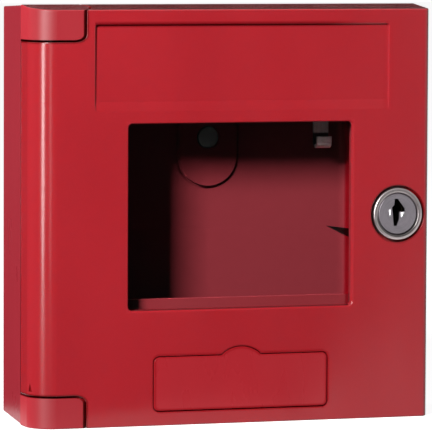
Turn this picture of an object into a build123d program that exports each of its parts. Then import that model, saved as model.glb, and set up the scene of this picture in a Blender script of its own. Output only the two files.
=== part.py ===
from build123d import *
import os
from math import atan2, cos, degrees, radians, sin, sqrt

# Break-glass key box: a shallow wall box with a hinged door, a pane of glass that is broken to
# reach the key, a cam lock, and a snap-in label cover under the window.
# Millimetres. X to the right, Y away from the viewer, Z up. The origin is the centre of the
# face that lies on the wall, so the whole box is in front of it, at Y below 0.

os.makedirs("parts", exist_ok=True)

# ---------------------------------------------------------------- overall size
width = 138.0
height = 138.0
depth = 37.5

# ---------------------------------------------------------------- walls and edges
door_depth = 14.4            # front face to the door's rear rim
seam_gap = 0.4               # between the door's rim and the case
plate = 2.5                  # thickness of the door's front
wall = 2.5                   # door skirts and case walls
back_wall = 2.6
top_skirt = 1.5              # thickness of the top skirt, under the top's front edge
top_fall = 1.5               # the top slopes down this much from the rim to the front face
case_step = 0.2              # the case is this much smaller than the door's rim, all round
side_draft = 0.8             # how far it then draws in by the wall, on the top and the sides
bottom_draft = 2.0           # the same, underneath
corner_radius = 9.0          # upright front corner on the hinge side
edge_round = 2.0             # upright front edge on the lock side
soft_edge = 0.5              # every other outside edge
window_edge = 0.7            # front edge of the window
window_lip = 1.5             # thickness of the door's front at the window's left and right edges
window_undercut = 1.3        # behind that lip the opening is wider by this, left and right
lip_thickness = 1.5          # inner lip of the case, which the door closes over
lip_reach = 4.3
lip_root = 4.5
lip_clearance = 0.5
lip_notch = 1.6              # room round the lock where the lip is left out

# ---------------------------------------------------------------- hinge
ear_width = 16.95            # across the fixed ears, measured on the front
upper_ear = 11.3             # height of the upper ear
lower_ear = 10.1             # height of the lower ear
ear_gap = 0.7                # groove between an ear and the door
ear_round = 1.9
ear_floor = 3.0
ear_side = 1.8
swing_clearance = 0.4        # between the door's column and the hollowed edge of the case
pin_radius = 1.5
pin_play = 0.05
pin_in_ear = 7.0
pin_in_door = 7.5
pin_end_play = 0.5
pin_boss = 4.2
knuckle_height = 12.0
pit_angle = 20.0             # from the left-hand side towards the front, about the hinge pin
pit_rise = 1.2               # foot of the pit above the door's lower end
pit_width = 2.2
pit_height = 3.0
pit_depth = 0.7

# ---------------------------------------------------------------- window and glass
window_z = -0.35
window_width = 78.2
window_height = 61.3
window_round = 1.5
reveal = 5.4                 # front face to the seat of the gasket
gasket = 0.8
glass = 2.0
glass_overlap = 3.0          # glass beyond the window, on each side
glass_clearance = 0.3
pocket_wall = 1.8
window_lock_room = 1.45      # between the frame round the glass and the lock's clip
retainer = 2.0
retainer_hold = 0.6          # how far the retainer reaches over the glass, left and right
retainer_ledge = 3.1         # how far it shows inside the window, along the bottom
screw_boss = 3.8
screw_boss_side = 4.4        # boss centre beyond the pocket wall
screw_boss_height = 48.0     # between the bosses, up and down
screw_pilot = 1.1
screw_shank = 1.1
screw_head = 2.6
screw_head_height = 1.8
screw_length = 5.6

# ---------------------------------------------------------------- label recess and cover
recess_x = 3.05
recess_drop = 20.5           # the recess's middle, below the top edge
recess_width = 102.5
recess_height = 28.4
recess_round = 1.0
recess_depth = 1.0           # at its top edge
recess_foot_depth = 0.6      # at the head of the slope that runs out to the front
recess_slope = 3.3           # height of that slope
cover_x = 2.65
cover_edge = 13.7            # the cover's middle, above the bottom edge
cover_width = 61.0
cover_height = 18.1
cover_round = 2.0
cover_arch_width = 14.0
cover_arch_rise = 2.8
cover_groove = 0.36
cover_edge_round = 0.4
cover = 1.8
cover_seat = 2.0             # depth of the pocket that the cover sits in
cover_floor = 1.6            # thickness of the pocket's floor
prong_spacing = 40.0
prong_width = 6.0
prong_thickness = 1.4
prong_length = 4.6
prong_clearance = 0.3

# ---------------------------------------------------------------- lock
lock_edge = 11.2             # the lock's axis to the right-hand edge
lock_z = -0.8
lock_head = 8.7              # radius of the metal head
lock_head_thickness = 2.7
lock_head_round = 0.6
lock_proud = 0.5
lock_head_clearance = 0.8
lock_body = 7.6              # radius over the threadless body
lock_flat = 6.6              # from the axis to each flat
lock_hole_clearance = 0.15
lock_length = 16.3           # body behind the head
lock_boss = 11.0
lock_grip = 4.5              # front face to the seat of the clip
clip = 1.2
clip_groove = 0.5
clip_leg = 2.0
clip_slack = 0.05
plug_face = 7.0
plug_recess = 0.5            # front of the head to the face of the plug
plug_bevel = 0.4
plug_face_depth = 1.9        # front of the head to the back of the plug's face
plug_radius = 5.3
plug_play = 0.05
keyway_profile = [           # corners of the keyway, from the lock's axis
    (-1.1, 5.0), (0.1, 5.0), (2.5, 1.8), (2.6, 0.8), (0.6, 0.6), (0.5, -2.0),
    (-0.3, -4.0), (-1.4, -4.0), (-1.8, 0.4), (-2.1, 2.1), (-1.2, 3.1),
]
keyway_depth = 15.0
wafer_count = 5
wafer = 0.8
wafer_pitch = 2.4
wafer_first = 3.2            # front of the plug to the first wafer
wafer_width = 6.4
wafer_height = 9.0
wafer_play = 0.05
wafer_slot_inset = 0.2       # the slots stop this far inside the plug
wafer_inset = 0.3            # and the wafers' ends this far
tail = 6.0                   # square tail of the plug
tail_play = 0.05
stop_ring = 1.0
stop_disc = 6.0
stop_lug_angle = 40.0
stop_lug_play = 0.1
stop_play_angle = 3.0
lock_turn = 90.0
cam = 2.0
cam_hub = 6.4
cam_tip_x = -17.8            # the tip and the neck, from the lock's axis
cam_tip_z = -5.0
cam_neck_x = -9.4
cam_neck_low = -9.2
cam_neck_high = -6.1
cam_washer = 0.8
cam_washer_radius = 4.8
cam_washer_play = 0.1
cam_screw = 1.95
cam_screw_head = 3.6
cam_screw_head_height = 2.2
cam_screw_length = 6.0
cam_screw_end_play = 0.2
catch = 2.5                  # thickness of the catch plate
catch_gap = 0.6              # between the catch and the cam
catch_low = 11.5             # above the lock's axis
catch_height = 8.0
catch_left = -7.5            # left edge, from the lock's axis
catch_web = 2.0
catch_web_left = 1.5

# ---------------------------------------------------------------- inside the case
divider_lock = 6.3           # left face of the divider, from the lock's axis
divider = 2.0
divider_height = 8.0
divider_length = 72.0        # up and down, centred on the window
divider_foot = 2.2           # hollow round at the divider's foot, on the key's side
pad_x = 2.3                  # the U-shaped pad round the upper fixing hole
pad_z = 23.8
pad_width = 20.0
pad_drop = 16.3              # from the hole's centre to the foot of the pad
pad_rise = 12.0
pad = 1.4
pad_groove = 1.1
pad_groove_depth = 1.5
fixing_radius = 2.5
fixing_head = 4.1
lower_fixing_spacing = 80.0
lower_fixing_z = -50.0
lower_pad = 6.5
hook_inset = 3.6             # the hook's middle, inside the window's right-hand edge
hook_width = 5.2
hook_strip = 1.0
hook_front = 21.0            # front face of the box to the front of the upright strip
hook_top = 38.0
hook_foot = 20.5
hook_tip = 24.4
hook_throat = 2.2            # clear space inside the bend
hook_post_foot = 29.0
hook_post_extra = 1.0
hook_screw_drop = 3.4
hook_screw_shank = 1.3
hook_screw_head = 2.3
hook_screw_head_height = 1.6
hook_screw_length = 8.0
hook_pilot_depth = 10.0

# ---------------------------------------------------------------- worked out from these
left = -width / 2
right = width / 2
bottom = -height / 2
top = height / 2
front = -depth
rim = front + door_depth
seam = rim + seam_gap
plate_back = front + plate
skirt_top = top - top_fall - top_skirt         # underside of the door's top skirt
pin_x = left + corner_radius
pin_y = front + corner_radius
ear_reach = sqrt((ear_width - corner_radius) ** 2 + corner_radius ** 2)
column_reach = sqrt(corner_radius ** 2 + max(rim - pin_y, 0) ** 2)
upper_seat = top - upper_ear
lower_seat = bottom + lower_ear
seat_face = front + reveal
glass_front = seat_face + gasket
pocket_rim = glass_front + glass
retainer_back = pocket_rim + retainer
lock_x = right - lock_edge
recess_z = top - recess_drop
cover_z = bottom + cover_edge
opening_width = window_width + 2 * window_undercut
pane_width = window_width + 2 * glass_overlap
pane_height = window_height + 2 * glass_overlap
pocket_width = pane_width + 2 * glass_clearance
pocket_height = pane_height + 2 * glass_clearance
frame_width = pocket_width + 2 * pocket_wall
frame_height = pocket_height + 2 * pocket_wall
clip_reach = lock_body + clip_slack + clip_leg
window_x = lock_x - clip_reach - window_lock_room - frame_width / 2
hook_x = window_x + window_width / 2 - hook_inset
boss_x = frame_width / 2 + screw_boss_side
boss_z = screw_boss_height / 2
screw_places = [(window_x + sx * boss_x, window_z + sz * boss_z) for sx in (-1, 1) for sz in (-1, 1)]
head_back = front - lock_proud + lock_head_thickness
body_back = head_back + lock_length
clip_front = front + lock_grip
cam_front = body_back + stop_ring
cam_back = cam_front + cam
catch_back = cam_front - catch_gap
floor = -back_wall
divider_x = lock_x - divider_lock
divider_front = floor - divider_height
cover_prongs = [cover_x - prong_spacing / 2, cover_x + prong_spacing / 2]
lower_fixings = [pad_x - lower_fixing_spacing / 2, pad_x + lower_fixing_spacing / 2]
hook_face = front + hook_front
hook_back = hook_face + hook_strip
hook_post_width = hook_width + 2 * hook_post_extra
hook_screw_z = hook_top - hook_screw_drop
margin = 1.0                 # cutting tools reach this far past a face


# ---------------------------------------------------------------- helpers
def block(x0, x1, y0, y1, z0, z1):
    return Pos((x0 + x1) / 2, (y0 + y1) / 2, (z0 + z1) / 2) * Box(x1 - x0, y1 - y0, z1 - z0)


def prism(sketch, y0, y1):
    """A sketch drawn as seen from the front (X right, Z up), carried from y0 back to y1."""
    return extrude(Plane.XZ.offset(-y1) * sketch, amount=y1 - y0)


def upright(x, y, radius, z0, z1):
    return Pos(x, y, (z0 + z1) / 2) * Cylinder(radius, z1 - z0)


def across(x, z, radius, y0, y1):
    return prism(Pos(x, z) * Circle(radius), y0, y1)


def rounded(x, z, w, h, radius):
    return Pos(x, z) * RectangleRounded(w, h, radius)


def ring(x, z, w, h, radius, border):
    """A rectangular frame that grows outwards from the opening w by h."""
    outside = rounded(x, z, w + 2 * border, h + 2 * border, radius + border)
    return outside - rounded(x, z, w, h, radius)


def one_solid(shape):
    """The single solid that a boolean result holds."""
    solids = shape.solids()
    return solids[0] if len(solids) == 1 else Compound(children=solids)


# ---------------------------------------------------------------- shared forms
def envelope(y_back, inset=0.0):
    """The front of the box as one closed block, with its round hinge corner and sloping top."""
    x0 = left + inset
    x1 = right - inset
    y0 = front + inset
    outline = Pos((x0 + x1) / 2, (y0 + y_back) / 2) * Rectangle(x1 - x0, y_back - y0)
    near = outline.vertices().sort_by(Axis.Y)[:2].sort_by(Axis.X)
    outline = fillet(near[0], corner_radius - inset)
    if inset == 0:
        near = outline.vertices().sort_by(Axis.Y)
        outline = fillet(near.filter_by_position(Axis.X, x1 - margin, x1 + margin)[0], edge_round)
    return extrude(Plane.XY.offset(bottom + inset) * outline, amount=height - 2 * inset)


def sloping_top():
    """What is cut away above the sloping top of the door and the ears."""
    side = Polyline(
        (front - margin, top - top_fall - margin * top_fall / door_depth),
        (rim, top),
        (rim, top + margin),
        (front - margin, top + margin),
        close=True,
    )
    return extrude(Plane.YZ.offset(left - margin) * make_face(side), amount=width + 2 * margin)


def front_block(y_back):
    """The envelope with its top sloped and its outside edges softened."""
    body = envelope(y_back) - sloping_top()
    free = body.edges().filter_by(lambda e: e.bounding_box().min.Y < y_back - soft_edge)
    level = free.filter_by(lambda e: e.bounding_box().size.Z < top_fall + soft_edge)
    return fillet(level, soft_edge)


def ear_space(upper, grow):
    """A turned block about the hinge pin: the ear itself, or the room the door leaves round it."""
    radius = ear_reach + grow
    if upper:
        body = upright(pin_x, pin_y, radius, upper_seat - grow, top + margin)
        edge = body.edges().filter_by(GeomType.CIRCLE).sort_by(Axis.Z)[0]
    else:
        body = upright(pin_x, pin_y, radius, bottom - margin, lower_seat + grow)
        edge = body.edges().filter_by(GeomType.CIRCLE).sort_by(Axis.Z)[-1]
    return fillet(edge, ear_round + grow)


def hinge_ear(upper):
    body = front_block(seam) & ear_space(upper, 0)
    z0 = upper_seat + ear_floor if upper else bottom + wall
    z1 = skirt_top if upper else lower_seat - ear_floor
    hollow = upright(pin_x, pin_y, ear_reach - ear_side, z0, z1)
    hollow = hollow & envelope(seam + margin, wall)
    hollow = hollow - upright(pin_x, pin_y, pin_boss, z0, z1)
    body = body - hollow
    if upper:
        return body - upright(pin_x, pin_y, pin_radius, upper_seat - margin, upper_seat + pin_in_ear)
    return body - upright(pin_x, pin_y, pin_radius, lower_seat - pin_in_ear, lower_seat + margin)


def cover_outline(grow):
    """The label cover seen from the front, with the arch for a fingernail."""
    body = rounded(cover_x, cover_z, cover_width + 2 * grow, cover_height + 2 * grow, cover_round + grow)
    arch = (cover_arch_width ** 2 / 4 + cover_arch_rise ** 2) / (2 * cover_arch_rise)
    arch_z = cover_z + cover_height / 2 + cover_arch_rise - arch
    body = body + Pos(cover_x, arch_z) * Circle(arch + grow)
    reach = cover_height + 4 * cover_arch_rise
    keep = Pos(cover_x, cover_z + cover_arch_rise) * Rectangle(2 * cover_width, reach)
    foot = cover_z - cover_height / 2 - grow
    below = Pos(cover_x, foot - cover_width / 2) * Rectangle(2 * cover_width, cover_width)
    return (body & keep) - below


# ---------------------------------------------------------------- the case
def tray(y_front, y_back, inset):
    """A tapered block as deep as the case, drawn in by inset on every side."""
    def section(y, side, under):
        w = width - 2 * side - 2 * inset
        h = height - side - under - 2 * inset
        return Plane.XZ.offset(-y) * Pos(0, (under - side) / 2) * Rectangle(w, h)

    def at(y):
        share = (y - seam) / (0 - seam)
        return section(y, case_step + side_draft * share, case_step + bottom_draft * share)

    return loft([at(y_front), at(y_back)])


def catch_plate():
    """The lug that the cam turns behind, carried by the right-hand wall and a web to the back."""
    x0 = lock_x + catch_left
    x1 = right - wall
    z0 = lock_z + catch_low
    z1 = z0 + catch_height
    body = block(x0, x1, catch_back - catch, catch_back, z0, z1)
    middle = (z0 + z1) / 2
    low = middle - catch_web / 2
    high = middle + catch_web / 2
    return body + block(lock_x + catch_web_left, x1, catch_back - catch, floor, low, high)


def divider_wall():
    """A low wall between the key's space and the lock's, with a hollow round at its foot."""
    z0 = window_z - divider_length / 2
    z1 = window_z + divider_length / 2
    round_x = divider_x - divider_foot
    round_y = floor - divider_foot
    foot = block(round_x, divider_x, round_y, floor, z0, z1)
    foot = foot - upright(round_x, round_y, divider_foot, z0, z1)
    return block(divider_x, divider_x + divider, divider_front, floor, z0, z1) + foot


def pad_outline(grow):
    radius = pad_width / 2 + grow
    foot = pad_z - pad_drop + pad_width / 2
    head = pad_z + pad_rise + grow
    body = Pos(pad_x, foot) * Circle(radius)
    return body + Pos(pad_x, (foot + head) / 2) * Rectangle(2 * radius, head - foot)


def make_base_case():
    body = tray(seam, 0, 0)
    body = fillet(body.edges().filter_by(lambda e: e.bounding_box().size.Y > -seam / 2), soft_edge)
    body = body - tray(seam, floor, wall)
    lip_out_w = width - 2 * (wall + lip_clearance)
    lip_top = skirt_top - lip_clearance
    lip_bottom = bottom + wall + lip_clearance
    lip_out_h = lip_top - lip_bottom
    lip_z = (lip_top + lip_bottom) / 2
    lip_hole = Pos(0, lip_z) * Rectangle(lip_out_w - 2 * lip_thickness, lip_out_h - 2 * lip_thickness)
    lip = prism(Pos(0, lip_z) * Rectangle(lip_out_w, lip_out_h) - lip_hole, seam - lip_reach, seam)
    root = prism(Rectangle(width - wall, height - wall) - lip_hole, seam, seam + lip_root)
    body = body + lip + (root & tray(seam, 0, wall / 2))
    body = body - upright(pin_x, pin_y, column_reach + swing_clearance, lower_seat, upper_seat)
    notch = lock_body + lip_notch
    body = body - block(lock_x, right - wall, front, seam + lip_root, lock_z - notch, lock_z + notch)
    body = body + hinge_ear(True) + hinge_ear(False)
    body = body + catch_plate() + divider_wall()
    body = body + prism(pad_outline(0), floor - pad, floor)
    body = body - prism(pad_outline(pad_groove) - pad_outline(0), floor, floor + pad_groove_depth)
    body = body - across(pad_x, pad_z, fixing_head, floor - pad - margin, floor)
    body = body - across(pad_x, pad_z, fixing_radius, floor - pad, margin)
    for x in lower_fixings:
        body = body + across(x, lower_fixing_z, lower_pad, floor - pad, floor)
        body = body - across(x, lower_fixing_z, fixing_head, floor - pad - margin, floor)
        body = body - across(x, lower_fixing_z, fixing_radius, floor - pad, margin)
    half = hook_post_width / 2
    post = block(hook_x - half, hook_x + half, hook_back, floor, hook_post_foot, hook_top + hook_post_extra)
    body = body + post
    pilot_end = hook_back + hook_pilot_depth
    return body - across(hook_x, hook_screw_z, hook_screw_shank, hook_back - margin, pilot_end)


def make_hinge_pin(upper):
    if upper:
        return upright(pin_x, pin_y, pin_radius, upper_seat - ear_gap - pin_in_door, upper_seat + pin_in_ear)
    return upright(pin_x, pin_y, pin_radius, lower_seat - pin_in_ear, lower_seat + ear_gap + pin_in_door)


def make_key_hook():
    """A flat strip that hangs from its screw and turns up at the foot to hold the key's ring."""
    outer = hook_throat / 2 + hook_strip
    centre_y = hook_face - hook_throat / 2
    centre_z = hook_foot + outer
    bend = upright(0, 0, outer, -hook_width / 2, hook_width / 2)
    bend = bend - upright(0, 0, hook_throat / 2, -hook_width, hook_width)
    bend = Pos(hook_x, centre_y, centre_z) * Rot(0, 90, 0) * bend
    bend = bend & block(left, right, front, 0, bottom, centre_z)
    x0 = hook_x - hook_width / 2
    x1 = hook_x + hook_width / 2
    strip = block(x0, x1, hook_face, hook_back, centre_z, hook_top)
    tip_back = hook_face - hook_throat
    tip = block(x0, x1, tip_back - hook_strip, tip_back, centre_z, hook_tip)
    body = bend + strip + tip
    return body - across(hook_x, hook_screw_z, hook_screw_shank, hook_face - margin, hook_back + margin)


def pan_screw(x, z, seat, head, head_height, shank, length, drive):
    """A pan-head screw whose head stands in front of its seat, with a cross recess."""
    body = across(x, z, head, seat - head_height, seat)
    body = fillet(body.edges().filter_by(GeomType.CIRCLE).sort_by(Axis.Y)[0], 0.4 * head_height)
    body = body + across(x, z, shank, seat, seat + length)
    cross = Pos(x, z) * (Rectangle(2 * drive, 0.5 * drive) + Rectangle(0.5 * drive, 2 * drive))
    return body - prism(cross, seat - head_height - margin, seat - 0.5 * head_height)


def make_hook_screw():
    return pan_screw(
        hook_x, hook_screw_z, hook_face, hook_screw_head, hook_screw_head_height,
        hook_screw_shank, hook_screw_length, 0.6 * hook_screw_head,
    )


# ---------------------------------------------------------------- the door
def lock_section(radius, flat):
    return Circle(radius) & Rectangle(2 * flat, 2 * radius)


def make_door_shell():
    body = front_block(rim)
    inside = envelope(rim + margin, wall)
    inside = inside & block(left, right, front, rim + margin, bottom, skirt_top)
    body = body - inside
    for z0, z1 in knuckle_spans():
        body = body + upright(pin_x, pin_y, corner_radius - wall / 2, z0, z1)
    body = body - ear_space(True, ear_gap) - ear_space(False, ear_gap)
    frame = rounded(window_x, window_z, frame_width, frame_height, window_round)
    body = body + prism(frame, plate_back, seat_face)
    pocket = ring(window_x, window_z, pocket_width, pocket_height, window_round, pocket_wall)
    body = body + prism(pocket, seat_face, pocket_rim)
    for x, z in screw_places:
        body = body + across(x, z, screw_boss, plate_back, pocket_rim)
        body = body - across(x, z, screw_pilot, plate_back, pocket_rim + margin)
    window = rounded(window_x, window_z, window_width, window_height, window_round)
    opening = rounded(window_x, window_z, opening_width, window_height, window_round)
    body = body - prism(window, front - margin, seat_face) - prism(opening, front + window_lip, seat_face)
    body = soften_window(body)
    body = body - label_recess() - column_pit()
    body = body + prism(cover_outline(wall), plate_back, front + cover_seat + cover_floor)
    body = body - prism(cover_outline(cover_groove / 2), front - margin, front + cover_seat)
    for x in cover_prongs:
        w = prong_width + 2 * prong_clearance
        h = prong_thickness + 2 * prong_clearance
        body = body - prism(Pos(x, cover_z) * Rectangle(w, h), front, rim)
    boss = across(lock_x, lock_z, lock_boss, plate_back, clip_front)
    body = body + (boss & block(left, right - wall / 2, front, rim, bottom, top))
    body = body - across(lock_x, lock_z, lock_head + lock_head_clearance, front - margin, head_back)
    hole = lock_section(lock_body + lock_hole_clearance, lock_flat + lock_hole_clearance)
    body = body - prism(Pos(lock_x, lock_z) * hole, front, rim)
    for z0, z1 in pin_holes():
        body = body - upright(pin_x, pin_y, pin_radius + pin_play, z0, z1)
    return body


def label_recess():
    """The sunk label field: deepest at its top edge, with a slope along the bottom."""
    high = recess_z + recess_height / 2
    low = recess_z - recess_height / 2
    side = Polyline(
        (front - margin, high),
        (front + recess_depth, high),
        (front + recess_foot_depth, low + recess_slope),
        (front, low),
        (front - margin, low),
        close=True,
    )
    body = extrude(Plane.YZ.offset(recess_x - recess_width / 2) * make_face(side), amount=recess_width)
    outline = rounded(recess_x, recess_z, recess_width, recess_height, recess_round)
    return body & prism(outline, front - margin, front + recess_depth)


def soften_window(body):
    half_w = window_width / 2 + margin
    half_h = window_height / 2 + margin
    on_front = body.edges().filter_by_position(Axis.Y, front - 0.01, front + 0.01)
    across_x = on_front.filter_by_position(Axis.X, window_x - half_w, window_x + half_w)
    return fillet(across_x.filter_by_position(Axis.Z, window_z - half_h, window_z + half_h), window_edge)


def knuckle_spans():
    high = upper_seat - ear_gap
    low = lower_seat + ear_gap
    return [(high - knuckle_height, high), (low, low + knuckle_height)]


def column_pit():
    """A small three-cornered pit in the door's round column, just above the lower ear."""
    across_x = sin(radians(pit_angle))
    across_y = cos(radians(pit_angle))
    reach = corner_radius - pit_depth
    start = (pin_x - across_y * reach, pin_y - across_x * reach, lower_seat + ear_gap + pit_rise)
    face = Plane(origin=start, x_dir=(across_x, -across_y, 0), z_dir=(-across_y, -across_x, 0))
    corners = Polyline((-pit_width / 2, 0), (pit_width / 2, 0), (0, pit_height), close=True)
    return extrude(face * make_face(corners), amount=pit_depth + margin)


def pin_holes():
    high = upper_seat - ear_gap
    low = lower_seat + ear_gap
    reach = pin_in_door + pin_end_play
    return [(high - reach, high + margin), (low - margin, low + reach)]


def make_glass_gasket():
    clear_height = window_height + glass_overlap / 2
    outline = rounded(window_x, window_z, pane_width, pane_height, window_round)
    outline = outline - rounded(window_x, window_z, opening_width, clear_height, window_round)
    return prism(outline, seat_face, glass_front)


def make_glass_pane():
    return prism(rounded(window_x, window_z, pane_width, pane_height, window_round), glass_front, pocket_rim)


def make_glass_retainer():
    w = pane_width - 2 * retainer_hold
    h = window_height - retainer_ledge
    outline = rounded(window_x, window_z, frame_width, frame_height, window_round)
    for x, z in screw_places:
        reach = abs(x - window_x) - frame_width / 2 + screw_boss
        inner = x - reach / 2 if x > window_x else x + reach / 2
        outline = outline + Pos(x, z) * Circle(screw_boss)
        outline = outline + Pos(inner, z) * Rectangle(reach, 2 * screw_boss)
    outline = outline - rounded(window_x, window_z + retainer_ledge / 2, w, h, window_round)
    body = prism(outline, pocket_rim, retainer_back)
    for x, z in screw_places:
        body = body - across(x, z, screw_shank, pocket_rim - margin, retainer_back + margin)
    return body


def make_retainer_screws():
    """Screws whose heads bear on the back of the retainer, pointing towards the front."""
    made = []
    for x, z in screw_places:
        screw = pan_screw(
            0, 0, 0, screw_head, screw_head_height, screw_shank, screw_length, 0.6 * screw_head
        )
        made.append(Pos(x, retainer_back, z) * Rot(0, 0, 180) * screw)
    return Compound(children=made)


def make_label_cover():
    body = prism(cover_outline(-cover_groove / 2), front, front + cover)
    body = fillet(body.edges().filter_by_position(Axis.Y, front - 0.01, front + 0.01), cover_edge_round)
    for x in cover_prongs:
        prong = Pos(x, cover_z) * Rectangle(prong_width, prong_thickness)
        body = body + prism(prong, front + cover, front + cover + prong_length)
    return body


# ---------------------------------------------------------------- the lock
def sector(radius, start, sweep):
    """A pie slice about the lock's axis, with angles counted anticlockwise from the right."""
    points = [(0, 0)]
    steps = 6
    for i in range(steps + 1):
        angle = radians(start + sweep * i / steps)
        points.append((radius * cos(angle), radius * sin(angle)))
    return make_face(Polyline(*points, close=True))


def at_lock(sketch, y0, y1):
    return prism(Pos(lock_x, lock_z) * sketch, y0, y1)


cam_angle = degrees(atan2(cam_tip_z, cam_tip_x)) % 360


def stop_gap():
    """The quarter turn, plus the lug's own width, that the ring on the housing leaves open."""
    start = cam_angle - lock_turn - stop_lug_angle / 2 - stop_play_angle
    sweep = lock_turn + stop_lug_angle + 2 * stop_play_angle
    return sector(2 * lock_body, start, sweep)


def make_lock_housing():
    head = at_lock(Circle(lock_head), front - lock_proud, head_back)
    rim_edge = head.edges().filter_by(GeomType.CIRCLE).sort_by(Axis.Y)[0]
    head = fillet(rim_edge, lock_head_round)
    body = head + at_lock(lock_section(lock_body, lock_flat), head_back, body_back)
    stop = (lock_section(lock_body, lock_flat) - Circle(stop_disc + plug_play)) - stop_gap()
    body = body + at_lock(stop, body_back, body_back + stop_ring)
    side = Rectangle(2 * lock_flat + margin, 2 * lock_body)
    side = side - Rectangle(2 * (lock_flat - clip_groove), 2 * lock_body)
    body = body - at_lock(side, clip_front, clip_front + clip + clip_slack)
    body = body - at_lock(Circle(plug_radius + plug_play), front - margin, body_back + margin)
    face_back = front - lock_proud + plug_face_depth
    body = body - at_lock(Circle(plug_face + plug_play), front - margin - lock_proud, face_back)
    circles = body.edges().filter_by(GeomType.CIRCLE)
    mouth = circles.filter_by_position(Axis.Y, front - lock_proud - 0.01, front - lock_proud + 0.01)
    return fillet(mouth.sort_by(SortBy.RADIUS)[0], lock_head_round)


def make_lock_clip():
    """A horseshoe of spring steel, pushed down over the grooves in the housing's flats."""
    inner = lock_flat - clip_groove + clip_slack
    outer = inner + clip_leg
    arch = lock_body + clip_slack
    legs = Pos(0, -arch / 2) * Rectangle(2 * outer, arch) - Pos(0, -arch / 2) * Rectangle(2 * inner, arch)
    bow = Circle(arch + clip_leg) - Circle(arch)
    bow = bow & Pos(0, arch) * Rectangle(4 * arch, 2 * arch)
    shoulder = Pos(0, clip_leg / 2) * Rectangle(2 * (arch + clip_leg), clip_leg)
    shoulder = shoulder - Pos(0, clip_leg / 2) * Rectangle(2 * arch, 2 * clip_leg)
    bridge = Pos(0, -clip_leg / 2) * Rectangle(2 * (arch + clip_leg), clip_leg)
    bridge = bridge - Pos(0, -clip_leg / 2) * Rectangle(2 * inner, 2 * clip_leg)
    shape = legs + (bow & Rectangle(2 * outer, 4 * arch)) + (shoulder & Rectangle(2 * outer, 4 * arch))
    shape = shape + (bridge & Rectangle(2 * outer, 4 * arch))
    return at_lock(shape, clip_front + clip_slack / 2, clip_front + clip_slack / 2 + clip)


def keyway():
    return make_face(Polyline(*keyway_profile, close=True))


def wafer_spans():
    first = front - lock_proud + wafer_first
    return [(first + i * wafer_pitch, first + i * wafer_pitch + wafer) for i in range(wafer_count)]


def make_lock_plug():
    y0 = front - lock_proud
    body = at_lock(Circle(plug_face), y0 + plug_recess, y0 + plug_face_depth)
    body = chamfer(body.edges().filter_by(GeomType.CIRCLE).sort_by(Axis.Y)[0], plug_bevel)
    body = body + at_lock(Circle(plug_radius), y0 + plug_face_depth, body_back)
    body = body + at_lock(Rectangle(tail, tail), body_back, cam_back)
    body = body - at_lock(keyway(), y0 - margin, y0 + keyway_depth)
    for a, b in wafer_spans():
        slot = Rectangle(wafer_width + 2 * wafer_play, wafer_height + 2 * wafer_play)
        body = body - at_lock(slot & Circle(plug_radius - wafer_slot_inset), a - wafer_play, b + wafer_play)
    return body - at_lock(Circle(cam_screw), cam_back - cam_screw_length, cam_back + margin)


def make_lock_wafers():
    plates = []
    shape = Rectangle(wafer_width, wafer_height) & Circle(plug_radius - wafer_inset)
    for a, b in wafer_spans():
        plates.append(at_lock(shape - keyway(), a, b))
    return Compound(children=[p.solids()[0] for p in plates])


def make_stop_washer():
    """The disc whose lug runs in the gap of the housing's ring, so the plug stops after its turn."""
    start = cam_angle - stop_lug_angle / 2
    lug = sector(2 * lock_body, start, stop_lug_angle) & Circle(lock_flat - stop_lug_play)
    shape = Circle(stop_disc) + lug
    shape = shape - Rectangle(tail + 2 * tail_play, tail + 2 * tail_play)
    return at_lock(shape, body_back + tail_play, cam_front)


def make_lock_cam():
    arm = Polyline(
        (0, -cam_hub),
        (cam_neck_x, cam_neck_low),
        (cam_tip_x, cam_tip_z),
        (cam_neck_x, cam_neck_high),
        (-cam_hub * cos(radians(20)), cam_hub * sin(radians(20))),
        close=True,
    )
    shape = Circle(cam_hub) + make_face(arm)
    shape = shape - Rectangle(tail + 2 * tail_play, tail + 2 * tail_play)
    return at_lock(shape, cam_front, cam_back)


def make_cam_washer():
    hole = Circle(cam_screw + cam_washer_play)
    return at_lock(Circle(cam_washer_radius) - hole, cam_back, cam_back + cam_washer)


def make_cam_screw():
    screw = pan_screw(
        0, 0, 0, cam_screw_head, cam_screw_head_height, cam_screw,
        cam_screw_length + cam_washer - cam_screw_end_play, 0.6 * cam_screw_head,
    )
    return Pos(lock_x, cam_back + cam_washer, lock_z) * Rot(0, 0, 180) * screw


# ---------------------------------------------------------------- all pieces
pieces = {
    "base_case": make_base_case(),
    "hinge_pin_upper": make_hinge_pin(True),
    "hinge_pin_lower": make_hinge_pin(False),
    "key_hook": make_key_hook(),
    "hook_screw": make_hook_screw(),
    "door_shell": make_door_shell(),
    "glass_gasket": make_glass_gasket(),
    "glass_pane": make_glass_pane(),
    "glass_retainer": make_glass_retainer(),
    "retainer_screws": make_retainer_screws(),
    "label_cover": make_label_cover(),
    "lock_housing": make_lock_housing(),
    "lock_clip": make_lock_clip(),
    "lock_plug": make_lock_plug(),
    "lock_wafers": make_lock_wafers(),
    "stop_washer": make_stop_washer(),
    "lock_cam": make_lock_cam(),
    "cam_washer": make_cam_washer(),
    "cam_screw": make_cam_screw(),
}

for name, shape in pieces.items():
    export_step(one_solid(shape), f"parts/{name}.step")
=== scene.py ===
"""Looks for the break glass key box: camera, studio, and a procedural material for every piece.

The CAD nodes keep their own meshes. Everything is in metres in the part's frame: X to the right,
Y away from the viewer, Z up, with the origin at the centre of the face that lies on the wall.
"""
import math

import bmesh
import bpy
from mathutils import Matrix, Vector


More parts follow.
